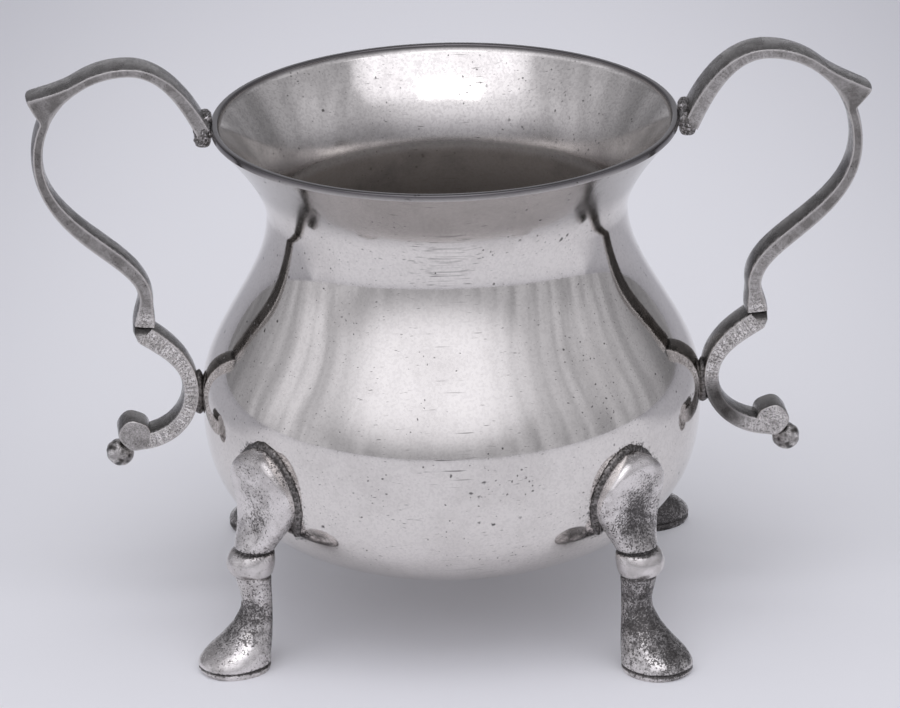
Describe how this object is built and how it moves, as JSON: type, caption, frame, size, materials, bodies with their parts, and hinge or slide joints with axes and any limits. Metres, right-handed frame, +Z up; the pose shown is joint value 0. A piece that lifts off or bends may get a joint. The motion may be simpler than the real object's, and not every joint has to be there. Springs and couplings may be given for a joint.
{
  "type": "sugar bowl",
  "caption": "Open pear-shaped pewter sugar bowl with a flared rim, double-scroll strap handles and cabriole feet with shield-shaped knees, for table use.",
  "frame": {"origin": "on the table plane under the bowl's axis, at the bottom centre of the box", "axes": "+X towards the right handle, +Y to the back, +Z up"},
  "size_m": [0.1564, 0.0938, 0.1085],
  "materials": {
    "polished_pewter": "turned and polished pewter, soft mirror with fine scratches and small pits",
    "cast_pewter": "cast pewter, worn bright on the edges, granular and grey on the sides",
    "aged_pewter": "cast pewter with mottled dark patina and pits, rubbed bright on the high places",
    "tin_solder": "rough dull tin solder, lumpy, dark in the hollows"
  },
  "bodies": {
    "root": {"lower_body": "polished_pewter", "upper_body": "polished_pewter", "belly_seam_solder": "tin_solder", "handle_left": "cast_pewter", "handle_left_rim_solder": "tin_solder", "handle_left_belly_solder": "tin_solder", "handle_right": "cast_pewter", "handle_right_rim_solder": "tin_solder", "handle_right_belly_solder": "tin_solder", "foot_front_left": "aged_pewter", "foot_front_left_solder": "tin_solder", "foot_front_right": "aged_pewter", "foot_front_right_solder": "tin_solder", "foot_back_left": "aged_pewter", "foot_back_left_solder": "tin_solder", "foot_back_right": "aged_pewter", "foot_back_right_solder": "tin_solder"}
  },
  "joints": []
}
